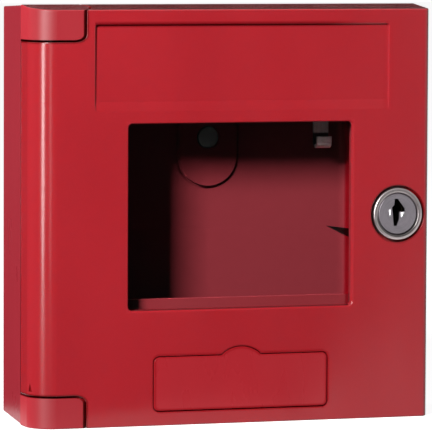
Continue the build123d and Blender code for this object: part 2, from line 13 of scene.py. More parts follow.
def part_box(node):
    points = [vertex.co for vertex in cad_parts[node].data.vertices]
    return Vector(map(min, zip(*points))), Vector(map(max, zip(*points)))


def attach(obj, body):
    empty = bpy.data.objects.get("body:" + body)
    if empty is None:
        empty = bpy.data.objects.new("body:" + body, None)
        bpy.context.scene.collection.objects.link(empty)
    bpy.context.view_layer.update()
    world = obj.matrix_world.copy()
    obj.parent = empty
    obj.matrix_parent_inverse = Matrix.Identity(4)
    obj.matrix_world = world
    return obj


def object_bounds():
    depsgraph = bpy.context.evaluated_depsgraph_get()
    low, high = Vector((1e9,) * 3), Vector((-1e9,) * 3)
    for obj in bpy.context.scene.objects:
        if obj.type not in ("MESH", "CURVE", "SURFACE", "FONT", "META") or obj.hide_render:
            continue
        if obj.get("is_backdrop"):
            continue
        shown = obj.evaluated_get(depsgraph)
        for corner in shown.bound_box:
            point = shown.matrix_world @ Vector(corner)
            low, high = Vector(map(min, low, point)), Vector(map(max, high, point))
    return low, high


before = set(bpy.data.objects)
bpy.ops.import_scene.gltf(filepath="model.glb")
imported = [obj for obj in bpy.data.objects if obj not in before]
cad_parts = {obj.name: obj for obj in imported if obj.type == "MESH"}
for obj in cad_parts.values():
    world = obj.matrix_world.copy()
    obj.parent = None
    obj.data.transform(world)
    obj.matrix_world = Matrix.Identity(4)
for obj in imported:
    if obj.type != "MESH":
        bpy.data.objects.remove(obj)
low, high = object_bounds()
MM = 0.001

# ---------------------------------------------------------------- camera, as fitted to the box's edges
FRAME_PIXELS = 432
VIEW_YAW = math.radians(19.38)       # the camera stands this far to the left of the front's normal
VIEW_PITCH = math.radians(4.02)      # and looks down by this much
VIEW_ROLL = math.radians(0.26)
VIEW_DISTANCE = 1.446
FOCAL_PIXELS = 4400.0
SENSOR = 36.0                        # millimetres, as Blender takes it
CLIP_END = 50.0
TARGET = Vector((-6.42, -37.5, -0.31)) * MM   # the camera and the lamps are aimed at this point

# ---------------------------------------------------------------- studio
# Azimuths are in degrees to the left of the front's normal, and distances in metres.
KEY_AZIMUTH = 44.4
KEY_ELEVATION = 23.8
KEY_DISTANCE = 0.95
KEY_SIZE = 0.19
KEY_POWER = 13.6
STRIP_AZIMUTH = 59.0                 # makes the narrow highlight on the hinge column
STRIP_WIDTH = 0.12
STRIP_LOW = -6.0                     # degrees of elevation of its lower end
STRIP_TALL = 0.30
STRIP_POWER = 2.05
SOFT_AZIMUTH = 29.0                  # the weaker highlight beside it
SOFT_WIDTH = 0.10
SOFT_POWER = 0.24
FILL_AZIMUTH = 112.0                 # on the hinge side, too far round to reach the front
FILL_ELEVATION = 8.0
FILL_SIZE = 0.35
FILL_POWER = 1.2
LIGHT_DISTANCE = 0.68                # of the strips and the fill
AMBIENT = 0.014
WHITE_SKY = 1.0
FLOOR_HALF = 6.0
FLOOR_DROP = 0.02 * MM               # below the box's foot
FLOOR_SHADE = 0.80
FLOOR_BOUNCE = 0.25                  # how much of that the floor throws back on the box
FLOOR_LIFT = 0.93                    # its own glow, for the camera and for reflections
FLAG_NEAR = 0.080                    # the black cards lie on the floor from here out to FLAG_FAR,
FLAG_FAR = 0.90                      # where they stand up to FLAG_TOP
FLAG_TOP = 0.50
FLAG_RISE = 0.2 * MM                 # of the cards above the box's foot
FLAG_RIGHT = -26.5                   # where the front card ends; beyond it the room is pale
FLAG_BACK = 172.0                    # where the front card gives way to the one behind
FLAG_END = 262.0
FLAG_STEP = 6.0                      # degrees between the cards' folds
BACK_LOW = 0.20                      # height of the rear card's lower edge
CARD_DARK = 0.010
CARD_LIGHT = 0.018
CARD_FIBRE = (60.0, 3.0)             # a noise, given as in the plastic's part below

# ---------------------------------------------------------------- where the looks change on the plastic
pin_low, pin_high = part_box("hinge_pin_upper")
pin = (pin_low + pin_high) / 2
EAR_GAP = 0.7 * MM
UPPER_EAR = 11.3 * MM                # heights of the two ears
LOWER_EAR = 10.1 * MM
upper_groove = high.z - UPPER_EAR - EAR_GAP   # the door's ends, above and below its column
lower_groove = low.z + LOWER_EAR + EAR_GAP
GROOVE_REACH = 12.71 * MM            # the door's edge round the ears, from the hinge pin
GROOVE_ROUND = 2.6 * MM
PIT_FLOOR = 8.7 * MM                 # the pit in the column is nearer the pin than this
PIT_RISE = 1.0 * MM                  # from the lower groove up to its foot
PIT_REACH = 4.7 * MM                 # and to its top
LOCK_GAP_REACH = 9.5 * MM
SEAM_DEPTH = -23.2 * MM
INNER_DEPTH = -23.0 * MM             # the case's plastic is matt and paler from here back, its inside darker in part as painted shade
INNER_FADE = 0.5 * MM
INSIDE_HALF = 66.6 * MM              # nearer the axis than this is inside the case
ENCLOSED_DEPTH = -35.0 * MM          # behind this and to the right of the next, the box is closed in
ENCLOSED_SIDE = -50.0 * MM
COVER_HEIGHT = 18.1 * MM             # without the arch
COVER_ROUND = 2.0 * MM
ARCH_HALF = 7.0 * MM                 # half the arch's chord
ARCH_RISE = 2.8 * MM
arch_radius = (ARCH_HALF ** 2 + ARCH_RISE ** 2) / (2 * ARCH_RISE)
RECESS_X = 3.05 * MM
RECESS_HALF = 51.25 * MM
RECESS_DROP = 6.3 * MM               # from the box's top to the recess
RECESS_TALL = 28.7 * MM              # a little more than the recess's height
RECESS_WALL = 0.9 * MM               # reach of the matt look round the recess's right-hand wall
recess_top = high.z - RECESS_DROP
GLASS_OVERLAP = 3.0 * MM             # glass beyond the window, on each side
EDGE_REACH = 0.75 * MM               # the window's rounded edge is matt this far out
CORNER_REACH = 2.2 * MM              # but for its right-hand foot

# ---------------------------------------------------------------- painted shade in the plastic's grooves and under the recess's top edge
PAINTED_GROOVE_SHADE = (0.17, 0.001, 0.002)         # painted shade round the ears and the lock, and in the pit
PAINTED_COVER_SHADE = (0.32, 0.006, 0.011)     # painted shade round the cover
PAINTED_RECESS_SHADOW = (0.19, 0.002, 0.005)      # painted shadow along the recess's top
SHADE_SHARE = 0.9                           # how much of the colour under it the painted shade hides
COVER_SHADE_SHARE = 0.8
RECESS_THIN = 0.2                    # share of the recess's painted shadow that is left at its thin end
EAR_OUTER = (0.15 * MM, 0.7 * MM)    # distances from the ears' outline over which the painted shade ends
EAR_INNER = (-0.9 * MM, -0.7 * MM)   # and over which it begins
LOCK_FADE = 0.6 * MM
COVER_FADE = (0.35 * MM, 1.1 * MM)   # from the cover's outline, on both sides
RECESS_FADE = (0.15 * MM, 1.35 * MM)   # from the recess's top edge, on both sides
RECESS_THINS = (30.0 * MM, 50.0 * MM)   # where the recess's painted shadow gets thinner to the right

# ---------------------------------------------------------------- plastic
# A noise is given as its features per metre, its detail and, where it isn't 0.5, its roughness.
NOISE_MIDDLE = (0.3, 0.7)            # most values of a noise lie between these
RED = (0.42, 0.019, 0.028)
CASE_RED = (0.38, 0.022, 0.032)
SHADED_SIDE_RED = (0.27, 0.018, 0.028)      # the case's outside behind the seam, darker as painted shade
# inside the case: less saturated, and darker in part as painted shade for the light that reaches less
# far in
INNER_RED_AND_SHADE = (0.315, 0.034, 0.047)
RETAINER_RED = (0.36, 0.028, 0.040)
FLOW = (28.0, 3.0)
FLOW_STRETCH = (1.0, 1.0, 0.45)
FLOW_TONES = (0.955, 1.045)
FLOW_HEIGHT = 0.06 * MM
FLOW_STRENGTH = 0.35
SPECKLE = (2600.0, 2.0)
SPECKLE_TONE = 1.12
SPECKLE_SHARE = 0.22
SPECKLE_RANGE = (0.35, 0.75)
SPECKLE_STRENGTH = 0.5
SMEAR = (90.0, 4.0)
SMEAR_STRETCH = (1.0, 1.0, 0.3)
SMEAR_ROUGHNESS = (-0.03, 0.03)
EDGE_SOFTNESS = 0.5 * MM
EDGE_SAMPLES = 8
EDGE_RUBBED = (0.75, 0.985)          # cosines of the lean of a softened edge, from rubbed to clean
EDGE_FLAT = (0.985, 0.992)           # and from an edge to a flat face
RUBBED_GAIN = (1.25, 2.6, 2.4)       # rubbed edges are paler by these factors
RUBBED_SHARE = 0.35
SQUARE_ON = 0.995                    # least cosine between a flat face's normal and an axis
FACING_UP = 0.9
PAINTED_TOP_SHADE = 0.35                    # share of the colour that is left on upward faces: painted shade
TOPS_POLISH = 0.2                    # which are this much less rough on the case
PAINTED_COLUMN_SHADE = 0.89                  # share of the colour that is left on the hinge column: painted shade
COLUMN_TURN = (-0.75, -0.05)         # X of the normals there, from full shade to none
INSIDE_DULLING = 0.38                # added to the roughness inside the case
WINDOW_DULLING = 0.35                # and in the window
SHINE = 0.5
MATT_SHINE = 0.08
PLASTIC_IOR = 1.45
PLASTIC_DIFFUSE_ROUGHNESS = 1.0
BLEED_COLOUR = (1.0, 0.12, 0.10)
BLEED_DEPTH = 1.2 * MM
BOUNCE_SHARE = 0.18                  # share of its colour that the plastic throws about in the box

# ---------------------------------------------------------------- metal
NICKEL = (0.62, 0.55, 0.55)
NICKEL_DULL = (0.33, 0.30, 0.33)
NICKEL_BRIGHT = (0.78, 0.77, 0.78)
STEEL_GREY = (0.55, 0.55, 0.56)
STEEL_BLACK = (0.020, 0.018, 0.018)
BRASS_BROWN = (0.16, 0.12, 0.07)
# painted shade inside the keyway
PAINTED_KEYWAY_SHADE = (0.010, 0.009, 0.009)
# painted shade on the hook behind and below its bend
PAINTED_HOOK_SHADE = (0.02, 0.015, 0.015)
# painted shade in the lock ring's dish and on its rim
PAINTED_DISH_SHADE = (0.02, 0.022, 0.020)
TURNING_SCALES = (0.35, 5200.0, 2400.0)   # of the turning marks by angle, radius and depth
TURNING_TONES = (0.86, 1.08)
TURNING_HEIGHT = 0.012 * MM
TURNING_STRENGTH = 0.5
TARNISH = (420.0, 4.0, 0.6)
TARNISH_GAIN = (1.0, 0.93, 0.95)
TARNISH_TONE = 0.7
TARNISH_SHARE = 0.5
TARNISH_RANGE = (0.45, 0.8)
TARNISH_ROUGHNESS = (-0.05, 0.09)
RING_DISH = 7.75 * MM                # radius of the dish in the lock's ring
RING_FRONT = 1.2 * MM                # the ring's face reaches back this far
DISH_EDGE = 0.15 * MM
RIM_SHADE = (0.42, 0.0)               # how much painted shade the rim has at its top and at its foot
DISH_SHADE = (0.30, 0.86)             # and the dish within it
FOOT_TO_TOP = (-0.55, 0.45)          # sines of the angle round the axis between which that changes
KEYWAY_SHADED = (0.8 * MM, 15.6 * MM)   # depths behind the lock's face between which the keyway is painted dark as shade
KEYWAY_SHADE_EDGE = 0.3 * MM
DRAWN_SCALES = (900.0, 900.0, 150.0)
DRAWN_DETAIL = 3.0
DRAWN_TONES = (0.85, 1.1)
DRAWN_HEIGHT = 0.01 * MM
DRAWN_STRENGTH = 0.4
MOTTLE = (700.0, 3.0, 0.6)
MOTTLE_GAIN = (1.03, 1.0, 0.92)
MOTTLE_TONE = 0.85
MOTTLE_SHARE = 0.35
MOTTLE_RANGE = (0.45, 0.7)
MOTTLE_ROUGHNESS = (-0.05, 0.1)
HOOK_SHADE_DEPTH = -17.2 * MM            # the hook has painted shade behind this depth
HOOK_SHADE_HEIGHT = 25.6 * MM            # and below this height
HOOK_SHADE_EDGE = 0.4 * MM
LAND_LEAN = (0.58, -0.24)            # slopes of the rubbed marks to the right and upwards
SCRATCH_SCALES = (9000.0, 9000.0, 900.0)
SCRATCH_TONES = (0.85, 1.1)
SCRATCH_ROUGHNESS = (0.24, 0.36)

# ---------------------------------------------------------------- glass and rubber
CLEAN_GLASS = (0.965, 0.985, 0.975)
DUSTY_GLASS = (0.93, 0.95, 0.94)
# painted reflection of the red frame at the pane's right-hand edge
PAINTED_SEAL_REFLECTION = (0.60, 0.06, 0.12)
SEAL_REFLECTION_EDGE = (-0.4 * MM, 0.3 * MM)    # where it begins and is full, from the window's edge
GLASS_PASSED = (0.94, 0.96, 0.95)    # what a shadow ray keeps through the pane
GLASS_DIMMED = (0.45, 0.46, 0.455)   # and what a diffuse ray keeps
GLASS_IOR = 1.50
DUST = (260.0, 5.0, 0.65)
DUST_TINTED = (0.4, 0.7)
DUST_ROUGHENED = (0.5, 0.8)
DUST_ROUGHNESS = 0.02
RUBBER_BLACK = ((0.004, 0.004, 0.004), (0.012, 0.012, 0.012))
RUBBER_RED = ((0.16, 0.004, 0.008), (0.20, 0.006, 0.010))
PORES = (1500.0, 3.0)
PORE_ROUGHNESS = (0.6, 0.85)
PORE_HEIGHT = 0.02 * MM
PORE_STRENGTH = 0.5

# ---------------------------------------------------------------- pieces that only the looks have
PLUG_X = 2.3 * MM                    # the middle of the sunk hole behind the window
PLUG_Z = 23.8 * MM
PLUG_RADIUS = 3.7 * MM
PLUG_BACK = -2.7 * MM
PLUG_FRONT = -3.9 * MM
PLUG_ROUND = 0.5 * MM
PLUG_ROUND_ANGLES = (30.0, 60.0, 90.0)
MARK_SUNK = 0.05 * MM                # of a rubbed mark's back in the plug's face
MARK_THICK = 0.15 * MM
MARK_CHAMFER = 0.05 * MM
RUBBED_MARKS = {                     # corners from the lock's axis, in millimetres
    "rubbed_mark_left": [(-3.3, 1.3), (-2.6, 1.8), (-2.3, -0.6), (-2.9, -1.0)],
    "rubbed_mark_right": [(0.9, 0.5), (2.4, 0.6), (2.2, -1.0), (1.2, -1.3)],
}


# ---------------------------------------------------------------- node helpers
class Nodes:
    """A short way to write a node tree: each call adds one node and links what it is given."""

    def __init__(self, tree):
        self.tree = tree
        tree.nodes.clear()

    def add(self, kind, **settings):
        node = self.tree.nodes.new(kind)
        for key, value in settings.items():
            setattr(node, key, value)
        return node

    def feed(self, socket, value):
        if isinstance(value, bpy.types.NodeSocket):
            self.tree.links.new(value, socket)
        else:
            socket.default_value = value

    def place(self):
        return self.add("ShaderNodeTexCoord").outputs["Object"]

    def geometry(self, kind):
        return self.add("ShaderNodeNewGeometry").outputs[kind]

    def math(self, operation, a, b=0.0):
        node = self.add("ShaderNodeMath", operation=operation)
        self.feed(node.inputs[0], a)
        self.feed(node.inputs[1], b)
        return node.outputs[0]

    def plus(self, a, b):
        return self.math("ADD", a, b)

    def minus(self, a, b):
        return self.math("SUBTRACT", a, b)

    def above(self, a, b):
        """1 where a is greater than b, else 0."""
        return self.math("GREATER_THAN", a, b)

    def below(self, a, b):
        return self.math("LESS_THAN", a, b)

    def size(self, a):
        return self.math("ABSOLUTE", a)

    def apart(self, a, b):
        return self.size(self.minus(a, b))

    def lesser(self, a, b):
        return self.math("MINIMUM", a, b)

    def product(self, *values):
        total = values[0]
        for value in values[1:]:
            total = self.math("MULTIPLY", total, value)
        return total

    def any_of(self, *values):
        """The greatest of the values, which is the union of masks."""
        total = values[0]
        for value in values[1:]:
            total = self.math("MAXIMUM", total, value)
        return total

    def length(self, a, b):
        return self.math("SQRT", self.plus(self.product(a, a), self.product(b, b)))

    def vector_math(self, operation, a, b=(0.0, 0.0, 0.0)):
        node = self.add("ShaderNodeVectorMath", operation=operation)
        self.feed(node.inputs[0], a)
        self.feed(node.inputs[1], b)
        return node.outputs

    def scaled(self, vector, factors):
        return self.vector_math("MULTIPLY", vector, factors)[0]

    def dot(self, a, b):
        return self.vector_math("DOT_PRODUCT", a, b)["Value"]

    def parts(self, vector):
        node = self.add("ShaderNodeSeparateXYZ")
        self.feed(node.inputs[0], vector)
        return node.outputs[0], node.outputs[1], node.outputs[2]

    def noise(self, vector, scale, detail=2.0, roughness=0.5):
        node = self.add("ShaderNodeTexNoise")
        self.feed(node.inputs["Vector"], vector)
        node.inputs["Scale"].default_value = scale
        node.inputs["Detail"].default_value = detail
        node.inputs["Roughness"].default_value = roughness
        return node.outputs["Fac"]

    def spread(self, value, low_out, high_out, low_in=0.0, high_in=1.0):
        """A smooth step from low_out, at low_in and below, to high_out, at high_in and above."""
        node = self.add("ShaderNodeMapRange", interpolation_type="SMOOTHSTEP")
        self.feed(node.inputs["Value"], value)
        node.inputs["From Min"].default_value = low_in
        node.inputs["From Max"].default_value = high_in
        node.inputs["To Min"].default_value = low_out
        node.inputs["To Max"].default_value = high_out
        return node.outputs[0]

    def blend(self, factor, a, b):
        node = self.add("ShaderNodeMix", data_type="RGBA")
        self.feed(node.inputs["Factor"], factor)
        self.feed(node.inputs["A"], a)
        self.feed(node.inputs["B"], b)
        return node.outputs["Result"]

    def uneven(self, field, rgb, dark, light):
        """The colour from a dark to a light shade of itself, as a noise field runs from low to high."""
        share = self.spread(field, 0.0, 1.0, *NOISE_MIDDLE)
        return self.blend(share, shade(rgb, dark), shade(rgb, light))

    def bump(self, height, distance, strength=1.0, under=None):
        node = self.add("ShaderNodeBump")
        self.feed(node.inputs["Height"], height)
        node.inputs["Distance"].default_value = distance
        node.inputs["Strength"].default_value = strength
        if under is not None:
            self.feed(node.inputs["Normal"], under)
        return node.outputs[0]

    def rays(self, *kinds):
        """1 for rays of any of these kinds, else 0."""
        path = self.add("ShaderNodeLightPath")
        return self.any_of(*[path.outputs[kind] for kind in kinds])

    def rougher(self, field, roughness, change):
        """The roughness with a change from the first to the second value along a noise field."""
        return self.spread(field, roughness + change[0], roughness + change[1], *NOISE_MIDDLE)

    def principled(self, tone, rough, normal=None):
        bsdf = self.add("ShaderNodeBsdfPrincipled")
        self.feed(bsdf.inputs["Base Color"], tone)
        self.feed(bsdf.inputs["Roughness"], rough)
        if normal is not None:
            self.feed(bsdf.inputs["Normal"], normal)
        return bsdf

    def metal(self, tone, rough, normal):
        """The whole output of a metal."""
        bsdf = self.principled(tone, rough, normal)
        bsdf.inputs["Metallic"].default_value = 1.0
        self.output(bsdf.outputs[0])

    def either(self, factor, a, b):
        """Shader a, or b as far as the factor says."""
        node = self.add("ShaderNodeMixShader")
        self.feed(node.inputs[0], factor)
        self.feed(node.inputs[1], a)
        self.feed(node.inputs[2], b)
        return node.outputs[0]

    def output(self, shader, kind="ShaderNodeOutputMaterial"):
        node = self.add(kind)
        self.feed(node.inputs["Surface"], shader)


def new_material(name):
    material = bpy.data.materials.new(name)
    material.use_nodes = True
    return material, Nodes(material.node_tree)


def shade(rgb, factor=1.0):
    return (rgb[0] * factor, rgb[1] * factor, rgb[2] * factor, 1.0)


def tinted(rgb, gains):
    return tuple(value * gain for value, gain in zip(rgb, gains))


def grey(level):
    return (level, level, level, 1.0)


# ---------------------------------------------------------------- materials: plastic
def moulded_plastic(name, rgb, roughness, grain, inner=None, outer_sides=None, painted_shading=False,
                    window=False, bleed=0.0):
    """Moulded plastic: faint flow marks and a fine spark-eroded grain.

    With inner, a colour, it is duller and of that colour inside the case, where the mould wasn't
    polished, that colour being darker in part as painted shade, and its outside behind the seam has
    the colour SHADED_SIDE_RED, darker as painted shade, and the roughness outer_sides. With grimy, its
    upward faces are darker as painted shade, and painted shade darkens the grooves round the ears,
    the lock and the label cover, and the small pit. With window, as on the door, its edges are soft,
    rubbed and paler, the hinge column is darker as painted shade, the recess's top edge carries a
    painted shadow, and the edges of the window, all in it and the recess's right-hand wall are matt.
    A share bleed of the light goes through the plastic, as it does where the wall is thin.
    """
    material, n = new_material(name)
    place = n.place()
    x, y, z = n.parts(place)
    flow = n.noise(n.scaled(place, FLOW_STRETCH), *FLOW)
    speckle = n.noise(place, *SPECKLE)
    smear = n.noise(n.scaled(place, SMEAR_STRETCH), *SMEAR)
    rough = n.rougher(smear, roughness, SMEAR_ROUGHNESS)
    tone = n.uneven(flow, rgb, *FLOW_TONES)
    tone = n.blend(n.spread(speckle, 0.0, SPECKLE_SHARE, *SPECKLE_RANGE), tone, shade(rgb, SPECKLE_TONE))
    normal = own = n.geometry("Normal")
    away_from_edges = 1.0
    matt = 0.0
    if window:
        soft = n.add("ShaderNodeBevel", samples=EDGE_SAMPLES)
        soft.inputs["Radius"].default_value = EDGE_SOFTNESS
        normal = soft.outputs[0]
        turn = n.dot(normal, own)
        away_from_edges = n.spread(turn, 0.0, 1.0, *EDGE_FLAT)
        rubbed = n.product(n.spread(turn, 1.0, 0.0, *EDGE_RUBBED), RUBBED_SHARE)
        tone = n.blend(rubbed, tone, shade(tinted(rgb, RUBBED_GAIN)))
    if inner is not None:
        behind = n.spread(y, 0.0, 1.0, INNER_DEPTH, INNER_DEPTH + INNER_FADE)
        inside = n.product(n.below(n.size(x), INSIDE_HALF), n.below(n.size(z), INSIDE_HALF), behind)
        outside = n.product(n.minus(1.0, inside), behind)
        rough = n.plus(rough, n.product(inside, INSIDE_DULLING))
        rough = n.plus(rough, n.product(outside, outer_sides - roughness))
        # inside: a colour darker in part as painted shade
        tone = n.blend(inside, tone, shade(inner))
        # outside behind the seam: painted shade
        tone = n.blend(outside, tone, shade(SHADED_SIDE_RED))
        matt = inside
    if painted_shading:
        tops = n.above(n.parts(n.geometry("True Normal"))[2], FACING_UP)
        if inner is not None:
            rough = n.minus(rough, n.product(tops, TOPS_POLISH))
        # painted shade on upward faces
        tone = n.blend(tops, tone, shade(rgb, PAINTED_TOP_SHADE))
    if window:
        # painted shade on the hinge column, whose faces point towards the lamps
        column = n.spread(n.parts(own)[0], 1.0, 0.0, *COLUMN_TURN)
        tone = n.blend(column, tone, shade(rgb, PAINTED_COLUMN_SHADE))
        matt = n.any_of(in_window(n, x, z), recess_wall(n, x, z))
        rough = n.plus(rough, n.product(matt, WINDOW_DULLING))
        # painted shadow under the recess's top edge
        under_edge = recess_shadow(n, x, z)
        tone = n.blend(under_edge, tone, shade(PAINTED_RECESS_SHADOW))
        matt = n.any_of(matt, under_edge)
    if painted_shading:
        # painted shade in the grooves round the ears and the lock, and in the pit
        tone = n.blend(groove_shade(n, x, y, z), tone, shade(PAINTED_GROOVE_SHADE))
        # painted shade along the groove round the label cover
        round_cover = cover_shade(n, x, y, z)
        tone = n.blend(round_cover, tone, shade(PAINTED_COVER_SHADE))
        matt = n.any_of(matt, round_cover)
    enclosed = n.product(n.above(y, ENCLOSED_DEPTH), n.above(x, ENCLOSED_SIDE))
    tone = n.blend(n.product(n.rays("Is Diffuse Ray"), enclosed), tone, shade(rgb, BOUNCE_SHARE))
    waves = n.bump(flow, FLOW_HEIGHT, FLOW_STRENGTH, flat_faces(n, normal, away_from_edges))
    bsdf = n.principled(tone, rough, n.bump(speckle, grain, SPECKLE_STRENGTH, waves))
    n.feed(bsdf.inputs["Specular IOR Level"], n.spread(matt, SHINE, MATT_SHINE))
    bsdf.inputs["IOR"].default_value = PLASTIC_IOR
    bsdf.inputs["Diffuse Roughness"].default_value = PLASTIC_DIFFUSE_ROUGHNESS
    bsdf.inputs["Subsurface Weight"].default_value = bleed
    bsdf.inputs["Subsurface Radius"].default_value = BLEED_COLOUR
    bsdf.inputs["Subsurface Scale"].default_value = BLEED_DEPTH
    n.output(bsdf.outputs[0])
    return material


def flat_faces(n, normal, away_from_edges):
    """The normal, but exactly the axis on faces square to one, away from their edges."""
    true = n.geometry("True Normal")
    square = n.any_of(*[n.size(part) for part in n.parts(true)])
    flat = n.product(n.above(square, SQUARE_ON), away_from_edges)
    half_up = n.vector_math("ADD", true, (0.5, 0.5, 0.5))[0]
    rounded = n.vector_math("FLOOR", half_up)[0]
    mix = n.add("ShaderNodeMix", data_type="VECTOR")
    n.feed(mix.inputs["Factor"], flat)
    vectors = [socket for socket in mix.inputs if socket.type == "VECTOR"]
    n.feed(vectors[-2], normal)
    n.feed(vectors[-1], rounded)
    return [socket for socket in mix.outputs if socket.type == "VECTOR"][0]


def in_window(n, x, z):
    """Inside the window and on its edges, but for the corner at its right-hand foot."""
    pane_low, pane_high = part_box("glass_pane")
    middle = (pane_low + pane_high) / 2
    cut_back = GLASS_OVERLAP - EDGE_REACH
    half = pane_high - middle - Vector((cut_back, 0.0, cut_back))
    corner = n.product(
        n.above(x, middle.x + half.x - CORNER_REACH),
        n.below(z, middle.z - half.z + CORNER_REACH),
    )
    return n.product(
        n.below(n.apart(x, middle.x), half.x),
        n.below(n.apart(z, middle.z), half.z),
        n.minus(1.0, corner),
    )


def recess_wall(n, x, z):
    """The wall at the right-hand end of the label recess."""
    return n.product(
        n.below(n.apart(x, RECESS_X + RECESS_HALF), RECESS_WALL),
        n.below(z, recess_top),
        n.above(z, recess_top - RECESS_TALL),
    )


def recess_shadow(n, x, z):
    """Painted shadow along the recess's top edge, thinning out to the right: 0 to 1."""
    return n.product(
        n.spread(n.apart(z, recess_top), SHADE_SHARE, 0.0, *RECESS_FADE),
        n.spread(x, 1.0, RECESS_THIN, *RECESS_THINS),
        n.below(n.apart(x, RECESS_X), RECESS_HALF),
    )


def cover_shade(n, x, y, z):
    """Painted shade along the groove round the label cover, by the distance to its outline: 0 to 1."""
    cover_low, cover_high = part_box("label_cover")
    centre_x = (cover_low.x + cover_high.x) / 2
    centre_z = cover_low.z + COVER_HEIGHT / 2
    across = n.minus(n.apart(x, centre_x), (cover_high.x - cover_low.x) / 2 - COVER_ROUND)
    upward = n.minus(n.apart(z, centre_z), COVER_HEIGHT / 2 - COVER_ROUND)
    outside = n.length(n.any_of(across, 0.0), n.any_of(upward, 0.0))
    within = n.lesser(n.any_of(across, upward), 0.0)
    panel = n.minus(n.plus(outside, within), COVER_ROUND)
    from_arch = n.length(n.minus(x, centre_x), n.minus(z, cover_high.z - arch_radius))
    outline = n.size(n.lesser(panel, n.minus(from_arch, arch_radius)))
    return n.product(n.spread(outline, COVER_SHADE_SHARE, 0.0, *COVER_FADE), n.below(y, ENCLOSED_DEPTH))


def groove_shade(n, x, y, z):
    """Painted shade along the grooves round the two ears, in the gap round the lock, and in the small
    pit.
    """
    from_pin = n.length(n.minus(x, pin.x), n.minus(y, pin.y))
    beyond = n.lesser(n.minus(upper_groove, z), n.minus(z, lower_groove))
    outward = n.any_of(n.plus(n.minus(from_pin, GROOVE_REACH), GROOVE_ROUND), 0.0)
    upward = n.any_of(n.plus(beyond, GROOVE_ROUND), 0.0)
    ear = n.minus(n.length(outward, upward), GROOVE_ROUND)
    by_ear = n.product(
        n.spread(ear, SHADE_SHARE, 0.0, *EAR_OUTER),
        n.spread(ear, 0.0, 1.0, *EAR_INNER),
        n.below(y, SEAM_DEPTH),
    )
    centre = lock_centre()
    from_lock = n.length(n.minus(x, centre.x), n.minus(z, centre.z))
    by_lock = n.product(
        n.spread(from_lock, SHADE_SHARE, 0.0, LOCK_GAP_REACH, LOCK_GAP_REACH + LOCK_FADE),
        n.below(y, ENCLOSED_DEPTH),
    )
    in_pit = n.product(
        n.below(from_pin, PIT_FLOOR),
        n.below(x, pin.x),
        n.below(z, lower_groove + PIT_REACH),
        n.above(z, lower_groove + PIT_RISE),
        SHADE_SHARE,
    )
    return n.any_of(by_ear, by_lock, in_pit)


# ---------------------------------------------------------------- materials: metal, glass and rubber
def lock_centre():
    low_corner, high_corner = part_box("lock_housing")
    middle = (low_corner + high_corner) / 2
    return Vector((middle.x, low_corner.y, middle.z))


def lock_polar(n):
    """Angle and radius about the lock's axis, and depth behind its face, for marks that run round it."""
    x, y, z = n.parts(n.vector_math("SUBTRACT", n.place(), lock_centre())[0])
    return n.math("ARCTAN2", z, x), n.length(x, z), y


def turned_metal(name, rgb, roughness, hollow=None, ring=None):
    """Plated metal with fine turning marks round the lock's axis and soft tarnish.

    Between the two depths in hollow it is painted black, as shade inside a keyway. Within the
    radius ring, its face has painted shade at the foot of the dish, and beyond that radius painted
    shade at the top of the rim.
    """
    material, n = new_material(name)
    angle, radius, deep = lock_polar(n)
    join = n.add("ShaderNodeCombineXYZ")
    for socket, value, scale in zip(join.inputs, (angle, radius, deep), TURNING_SCALES):
        n.feed(socket, n.product(value, scale))
    marks = n.noise(join.outputs[0], 1.0)
    tarnish = n.noise(n.place(), *TARNISH)
    tone = n.uneven(marks, rgb, *TURNING_TONES)
    stained = shade(tinted(rgb, TARNISH_GAIN), TARNISH_TONE)
    tone = n.blend(n.spread(tarnish, 0.0, TARNISH_SHARE, *TARNISH_RANGE), tone, stained)
    # painted shade at the dish's foot and at the rim's top
    if ring is not None:
        low_side = n.spread(n.math("SINE", angle), 1.0, 0.0, *FOOT_TO_TOP)
        dished = n.spread(radius, 1.0, 0.0, ring - DISH_EDGE, ring + DISH_EDGE)
        ring_shade = n.blend(dished, n.spread(low_side, *RIM_SHADE), n.spread(low_side, *DISH_SHADE))
        tone = n.blend(n.product(ring_shade, n.below(deep, RING_FRONT)), tone, shade(PAINTED_DISH_SHADE))
    # painted shade inside the keyway
    if hollow is not None:
        front, back = hollow
        in_keyway_shade = n.spread(deep, 0.0, 1.0, front, front + KEYWAY_SHADE_EDGE)
        tone = n.blend(n.product(in_keyway_shade, n.below(deep, back)), tone, shade(PAINTED_KEYWAY_SHADE))
    rough = n.rougher(tarnish, roughness, TARNISH_ROUGHNESS)
    n.metal(tone, rough, n.bump(marks, TURNING_HEIGHT, TURNING_STRENGTH))
    return material


def plated_steel(name, rgb, roughness, shaded_behind=None):
    """Plated or stamped metal: short upright drawn streaks and a mottled passivation.

    With greasy = (depth, height), it has painted shade behind that depth and below that height.
    """
    material, n = new_material(name)
    place = n.place()
    drawn = n.noise(n.scaled(place, DRAWN_SCALES), 1.0, DRAWN_DETAIL)
    mottle = n.noise(place, *MOTTLE)
    tone = n.uneven(drawn, rgb, *DRAWN_TONES)
    passivated = shade(tinted(rgb, MOTTLE_GAIN), MOTTLE_TONE)
    tone = n.blend(n.spread(mottle, 0.0, MOTTLE_SHARE, *MOTTLE_RANGE), tone, passivated)
    # painted shade on the hook behind and below its bend
    if shaded_behind is not None:
        depth, height = shaded_behind
        _, y, z = n.parts(place)
        under = n.spread(z, 1.0, 0.0, height - HOOK_SHADE_EDGE, height + HOOK_SHADE_EDGE)
        tone = n.blend(n.product(n.above(y, depth), under), tone, shade(PAINTED_HOOK_SHADE))
    rough = n.rougher(mottle, roughness, MOTTLE_ROUGHNESS)
    n.metal(tone, rough, n.bump(drawn, DRAWN_HEIGHT, DRAWN_STRENGTH))
    return material


